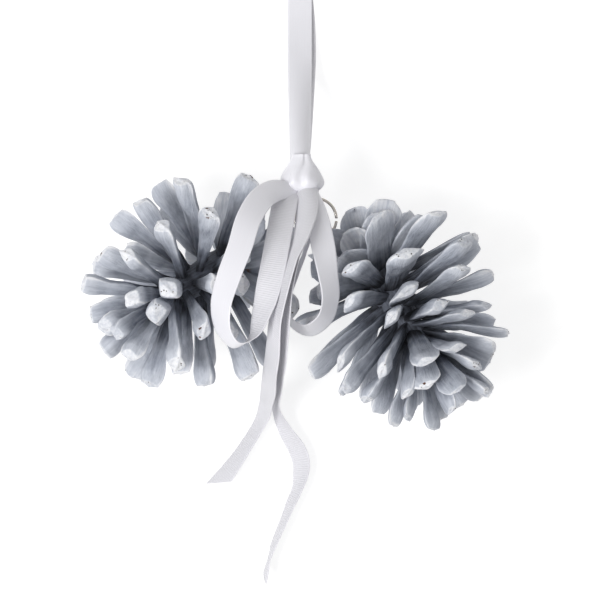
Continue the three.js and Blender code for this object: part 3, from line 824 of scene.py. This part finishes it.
# %% Routes
HANGING_LOOP = [
    (0.5, 62.5, 63, 1, 0, 0, 0.62),
    (0, 71, 62.5, 1, 0, 0, 0.74),
    (0, 81, 54, 1, 0, 0, 0.8),
    (0, 95, 37, 1, 0, 0, 0.88),
    (0, 111.5, 19, 1, 0, 0, 0.96),
    (0, 128, 8, 1, 0, 0, 1),
    (0, 144, 3, 1, 0, 0, 1),
    (0, 155.5, 2, 1, 0, 0, 1),
    (0, 161.5, 2, 1, 0, 0, 1),
    (0, 163, 1.2, 1, 0, 0, 1),
    (0, 161.5, 0.5, 1, 0, 0, 1),
    (0.5, 155.5, 0.5, 1, 0, 0, 1),
    (1.5, 144, 1, 1, 0, 0, 1),
    (2, 128, 5.5, 1, 0, 0, 1),
    (1.5, 112, 16, 1, 0, 0, 0.96),
    (1, 95.5, 33.5, 1, 0, 0, 0.88),
    (0.5, 81.5, 50, 1, 0, 0, 0.8),
    (0, 71, 58.5, 1, 0, 0, 0.74),
    (0.5, 63, 59, 1, 0, 0, 0.62),
]
TIE_ROUND_RING = [
    (3.4, 56, 56, 0.95, 0.3, 0, 0.4),
    (4.7, 51.2, 45, 0.95, 0.3, 0, 0.4),
    (5.5, 48.9, 37, 0.95, 0.3, 0, 0.4),
    (4.9, 50.9, 35, 0.95, 0.3, 0, 0.4),
    (4.3, 52.9, 37, 0.95, 0.3, 0, 0.4),
    (3.6, 55.2, 45, 0.95, 0.3, 0, 0.4),
    (2.8, 58, 56, 0.95, 0.3, 0, 0.4),
]
LEFT_LOOP = [
    (-2, 56.5, 66, 0.5, -0.8, 0.2, 0.8),
    (-10, 55.5, 75, 0.5, -0.8, 0.2, 0.92),
    (-18.5, 50, 87, 0.68, -0.65, 0.25, 1),
    (-25, 39, 100, 0.82, -0.45, 0.3, 1),
    (-29, 25.5, 108, 0.92, -0.2, 0.3, 1),
    (-34, 12, 112, 0.92, -0.1, 0.35, 1),
    (-38, -2.5, 113, 0.8, -0.05, 0.6, 1),
    (-37, -14.5, 110, 0.6, 0.05, 0.8, 1),
    (-30.5, -22, 107, 0.35, 0.2, 0.9, 1),
    (-23.5, -18.5, 105, 0.4, 0.2, 0.85, 1),
    (-18.5, -6, 104, 0.75, 0.1, 0.6, 1),
    (-14.5, 9.5, 102, 0.93, -0.2, 0.2, 1),
    (-11.2, 26.5, 95, 0.96, -0.2, 0.15, 1),
    (-8.6, 41.5, 82, 0.98, -0.15, 0.1, 1),
    (-6.6, 52, 70, 0.99, -0.1, 0, 1),
    (-4, 57.5, 61, 0.99, -0.1, 0, 0.85),
]
RIGHT_LOOP = [
    (3.5, 54.5, 66, 0.93, 0.25, -0.1, 0.85),
    (6.5, 47, 75, 0.95, 0.15, -0.2, 0.95),
    (9, 37, 84, 0.95, 0.1, -0.25, 1),
    (11.5, 25.5, 90, 0.93, 0.05, -0.35, 1),
    (13.5, 13.5, 92, 0.8, 0, -0.6, 1),
    (15, 1.5, 91, 0.68, 0, -0.73, 1),
    (12, -9.5, 88, 0.5, -0.3, -0.8, 1),
    (3.5, -15, 86, 0.25, -0.45, -0.85, 1),
    (-5, -10, 85, 0, -0.4, -0.92, 1),
    (-5.5, 0, 84, -0.2, -0.25, -0.95, 1),
    (-2, 11.5, 83, -0.25, -0.25, -0.93, 1),
    (1.5, 21.5, 80, -0.25, -0.25, -0.93, 1),
    (3, 32, 75, -0.2, -0.3, -0.93, 0.95),
    (2.5, 43.5, 68, -0.1, -0.3, -0.95, 0.8),
    (1.5, 54, 61, -0.1, -0.3, -0.95, 0.7),
]
LEFT_TAIL = [
    (3, 56.5, 68, 0.95, 0.2, 0.05, 0.85),
    (3, 46.5, 79, 0.93, 0.25, 0.15, 0.9),
    (0, 33, 92, 0.75, 0.3, 0.55, 0.95),
    (-4.5, 18.5, 102, 0.5, 0.2, 0.83, 1),
    (-8.5, 4, 106, 0.45, 0.1, 0.88, 1),
    (-12, -10.5, 105, 0.45, 0, 0.88, 1),
    (-13, -22.5, 98, 0.45, -0.35, 0.75, 1),
    (-14.5, -33.5, 79, 0.45, -0.75, 0.45, 1),
    (-15.5, -42, 53, 0.5, -0.8, 0.2, 1),
    (-17, -49, 27, 0.45, -0.75, 0.45, 1),
    (-18.5, -57, 11.5, 0.4, -0.5, 0.7, 1),
    (-21.4, -64.5, 6.5, 0.38, -0.28, 0.85, 1),
    (-26.5, -73, 5.9, 0.4, -0.3, 0.86, 1),
    (-32, -81.5, 5.8, 0.42, -0.38, 0.82, 1),
    (-38, -89.5, 5.7, 0.48, -0.48, 0.74, 1),
    (-42, -94.5, 5.2, 0.52, -0.52, 0.65, 1),
]
RIGHT_TAIL = [
    (4, 56.5, 64, 0.95, 0.1, 0.1, 0.75),
    (3.5, 46.5, 75, 0.85, 0.1, 0.4, 0.8),
    (0.5, 32.5, 88, 0.5, 0.15, 0.8, 0.9),
    (-2.5, 18.5, 98, 0.3, 0.15, 0.93, 1),
    (-5.5, 4, 102, 0.3, 0.1, 0.93, 1),
    (-7.5, -10.5, 101, 0.4, 0, 0.9, 1),
    (-9, -22.5, 94, 0.4, -0.3, 0.8, 1),
    (-10.5, -32.5, 75, 0.4, -0.75, 0.45, 1),
    (-11.5, -41, 49, 0.35, -0.85, 0.25, 1),
    (-12.5, -49.5, 24, 0.3, -0.6, 0.7, 1),
    (-11.5, -57.5, 10.5, 0.3, 0.05, 0.93, 1),
    (-9.5, -63.5, 7, 0.45, 0.15, 0.88, 1),
    (-6.5, -69.5, 5.9, 0.55, 0.25, 0.8, 1),
    (-2, -76.5, 5, 0.65, 0.3, 0.7, 1),
    (0.6, -83.5, 4.9, 0.7, 0.05, 0.7, 1),
    (0.4, -90, 5.3, 0.6, -0.15, 0.78, 1),
    (-1.6, -98, 6, 0.38, -0.15, 0.91, 1),
    (-5.2, -106, 6.2, 0.33, -0.14, 0.93, 1),
    (-8.6, -114.5, 6.4, 0.26, -0.11, 0.96, 1),
    (-12.3, -123, 6.5, 0.22, -0.09, 0.97, 1),
    (-15.5, -131, 6.5, 0.17, -0.07, 0.98, 1),
    (-18.7, -140.5, 6.4, 0.12, -0.05, 0.99, 0.9),
]
print("places on the hanging loop:", len(HANGING_LOOP))

# %% A smooth curve through a row of points
SMALLEST_GAP = 1e-4


def curve_point(points, t):
    """Point of the centripetal curve through a row of vectors, with t from 0 to 1 over its points."""
    last = len(points) - 1
    index = min(int(t * last), last - 1)
    weight = t * last - index
    start, end = points[index], points[index + 1]
    before = points[index - 1] if index > 0 else 2 * start - end
    after = points[index + 2] if index + 2 <= last else 2 * end - start
    gap_before = max((start - before).length ** 0.5, SMALLEST_GAP)
    gap = max((end - start).length ** 0.5, SMALLEST_GAP)
    gap_after = max((after - end).length ** 0.5, SMALLEST_GAP)
    leave = ((start - before) / gap_before - (end - before) / (gap_before + gap) + (end - start) / gap) * gap
    arrive = ((end - start) / gap - (after - start) / (gap + gap_after) + (after - end) / gap_after) * gap
    bend = 2 * (start - end) + leave + arrive
    turn = 3 * (end - start) - 2 * leave - arrive
    return start + weight * (leave + weight * (turn + weight * bend))


print("middle of the left loop:", curve_point([Vector(row[:3]) for row in LEFT_LOOP], 0.5))

# %% [markdown]
# ## Lengths of satin
# Each stretch starts as a flat grid and is laid along its curve. Where the ribbon is gathered it curls: its
# width stays the same, but it lies along an arc whose chord is the share that shows, with the edges turned
# away from above. Solidify gives it the thickness of satin, with the other finish on its other side.

# %% How a gathered ribbon curls
CURL_STEPS = 24
NEARLY_FLAT = 0.9999


def curl_angle(share):
    """Half angle of the arc whose chord is this share of its length, found by halving."""
    low, high = 0.0, math.pi
    for _ in range(CURL_STEPS):
        middle = (low + high) / 2
        if math.sin(middle) / middle > share:
            low = middle
        else:
            high = middle
    return low


def curled(sideways, share):
    """Where a point across the ribbon comes: along the chord, and how far back from the arc's top."""
    half = curl_angle(min(share, NEARLY_FLAT))
    radius = RIBBON_WIDTH / MM / 2 / half
    angle = half * 2 * sideways
    return radius * math.sin(angle), radius * (1 - math.cos(angle))


print("an edge gathered to half its width comes to", [round(x, 2) for x in curled(0.5, 0.5)], "mm")

# %% Rows along a stretch
STEPS_BETWEEN_PLACES = 8
TANGENT_STEP = 1e-3


def ribbon_rows(route):
    """For each row of the grid: its t, place, directions along and across, share and length so far."""
    places = [Vector(row[:3]) for row in route]
    acrosses = [Vector(row[3:6]) for row in route]
    shares = [Vector((row[6], 0, 0)) for row in route]
    steps = (len(route) - 1) * STEPS_BETWEEN_PLACES
    rows = []
    length = 0.0
    for step in range(steps + 1):
        t = step / steps
        place = curve_point(places, t)
        ahead = curve_point(places, min(1.0, t + TANGENT_STEP))
        along = (ahead - curve_point(places, max(0.0, t - TANGENT_STEP))).normalized()
        across = curve_point(acrosses, t)
        across = (across - along * across.dot(along)).normalized()
        length += (place - rows[-1]["place"]).length if rows else 0.0
        rows.append({"t": t, "place": place, "along": along, "across": across,
                     "share": curve_point(shares, t).x, "length": length})
    return rows


print("rows on the tie:", len(ribbon_rows(TIE_ROUND_RING)))

# %% Ribbon stretches
SATIN_THICKNESS = 0.35 * MM
STEPS_ACROSS = 16
TAIL_SLANT, SLANT_FROM = 0.8, 0.88


def lay_ribbon(bm, flat_layer, rows, slant):
    steps = len(rows) - 1
    made = bmesh.ops.create_grid(bm, x_segments=STEPS_ACROSS, y_segments=steps, size=0.5)
    for vert in made["verts"]:
        row = rows[round((vert.co.y + 0.5) * steps)]
        flat_x = vert.co.x * RIBBON_WIDTH / MM
        x, back = curled(vert.co.x, row["share"])
        face = row["along"].cross(row["across"])
        if face.z > 0:
            back = -back
        lean = slant * flat_x * max(0.0, row["t"] - SLANT_FROM) / (1 - SLANT_FROM)
        vert.co = at(*(row["place"] + row["across"] * x + face * back + row["along"] * lean))
        for loop in vert.link_loops:
            loop[flat_layer].uv = (flat_x * MM, (row["length"] + lean) * MM)


def dress_ribbon():
    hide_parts("ribbon")


def make_stretch(name, route, slant=0.0, face_out=True):
    bm = bmesh.new()
    flat_layer = bm.loops.layers.uv.new("flat")
    rows = ribbon_rows(route)
    lay_ribbon(bm, flat_layer, rows, slant)
    for face in bm.faces:
        face.smooth = True
    materials = (satin_face, satin_back) if face_out else (satin_back, satin_face)
    piece = make_object(name, bm, *materials)
    cloth = piece.modifiers.new("cloth", "SOLIDIFY")
    cloth.thickness = SATIN_THICKNESS
    cloth.offset = 0
    cloth.material_offset = 1
    dress_ribbon()
    print(name, "is", round(rows[-1]["length"]), "mm long")
    return piece


make_stretch("ribbon_hanging_loop", HANGING_LOOP)
make_stretch("ribbon_tie", TIE_ROUND_RING)
make_stretch("ribbon_left_loop", LEFT_LOOP, face_out=False)
make_stretch("ribbon_right_loop", RIGHT_LOOP, face_out=False)
make_stretch("ribbon_left_tail", LEFT_TAIL, -TAIL_SLANT)
make_stretch("ribbon_right_tail", RIGHT_TAIL, TAIL_SLANT)

# %% [markdown]
# ## The knot
# Above the bow the ribbon is wrapped into a bell: narrow at the neck, full below, and turned in under its
# lower edge. A cloth simulation that ties it would be slow and hard to steer, so a profile is spun into that
# form, and soft folds run down it from the neck and open out.

# %% Knot
KNOT_PLACE = Vector((1, 0, 62))
KNOT_PROFILE = (
    (0.3, 53), (5, 53.4), (8.6, 54.8), (10, 56.7), (10.3, 58.8),
    (9.8, 61.3), (8.2, 64.5), (6.2, 67.8), (4.7, 71), (4.4, 72.5),
)
KNOT_DEPTH_SHARE = 0.82
KNOT_STEPS, KNOT_ROWS = 64, 40
KNOT_FOLDS, FOLD_DEPTH, FOLD_TWIST = 6, 0.1, 0.12
FOLD_FROM, FOLD_FULL = 52, 60
WANDER, WANDER_ROUND, WANDER_ALONG = 3, 1.3, 0.12
KNOT_UV_RADIUS = 2.0 * MM


def fold_at(angle, y):
    """How far a fold stands out, from -1 to 1, at an angle round the knot and a height along it."""
    place = Vector((math.cos(angle) * WANDER_ROUND, math.sin(angle) * WANDER_ROUND, y * WANDER_ALONG))
    return math.cos(KNOT_FOLDS * angle + FOLD_TWIST * y + WANDER * noise.noise(place))


def make_knot():
    bm = bmesh.new()
    flat_layer = bm.loops.layers.uv.new("flat")
    profile = [Vector((wide, high, 0)) for wide, high in KNOT_PROFILE]
    row = [bm.verts.new(curve_point(profile, step / KNOT_ROWS)) for step in range(KNOT_ROWS + 1)]
    edges = [bm.edges.new(pair) for pair in zip(row, row[1:])]
    bmesh.ops.spin(bm, geom=row + edges, axis=(0, 1, 0), cent=(0, 0, 0), angle=FULL_TURN,
                   steps=KNOT_STEPS, use_merge=True)
    bmesh.ops.holes_fill(bm, edges=[edge for edge in bm.edges if edge.is_boundary], sides=KNOT_STEPS)
    bmesh.ops.recalc_face_normals(bm, faces=bm.faces)
    for face in bm.faces:
        face.smooth = True
    for vert in bm.verts:
        angle = math.atan2(vert.co.z, vert.co.x)
        y = vert.co.y
        for loop in vert.link_loops:
            loop[flat_layer].uv = (angle * KNOT_UV_RADIUS, y * MM)
        grow = 1 + FOLD_DEPTH * fold_at(angle, y) * smooth_step(y, FOLD_FROM, FOLD_FULL)
        spot = Vector((vert.co.x * grow, y, vert.co.z * grow * KNOT_DEPTH_SHARE)) + KNOT_PLACE
        vert.co = at(*spot)
    piece = make_object("ribbon_knot", bm, satin_face)
    dress_ribbon()
    return piece


print("knot:", make_knot().name)

# %% [markdown]
# ## Floor
# A plain floor lies under the part. Lit by the studio alone it would look grey, so it glows by itself like a
# light table, and only a faint shadow shows on it.

# %% Floor
FLOOR_SIDE = 6000
FLOOR_GREY, FLOOR_GLOW, FLOOR_ROUGHNESS = 0.4, 0.72, 0.9


def make_floor():
    bm = bmesh.new()
    bmesh.ops.create_grid(bm, x_segments=1, y_segments=1, size=FLOOR_SIDE / 2 * MM)
    mesh = bpy.data.meshes.new("floor")
    bm.to_mesh(mesh)
    bm.free()
    material, _, shader = new_material("pale_floor")
    shader.inputs["Base Color"].default_value = (FLOOR_GREY, FLOOR_GREY, FLOOR_GREY, 1)
    shader.inputs["Roughness"].default_value = FLOOR_ROUGHNESS
    shader.inputs["Emission Color"].default_value = (1, 1, 1, 1)
    shader.inputs["Emission Strength"].default_value = FLOOR_GLOW
    mesh.materials.append(material)
    floor = bpy.data.objects.new("floor", mesh)
    scene.collection.objects.link(floor)
    return floor


print("floor:", make_floor().name)
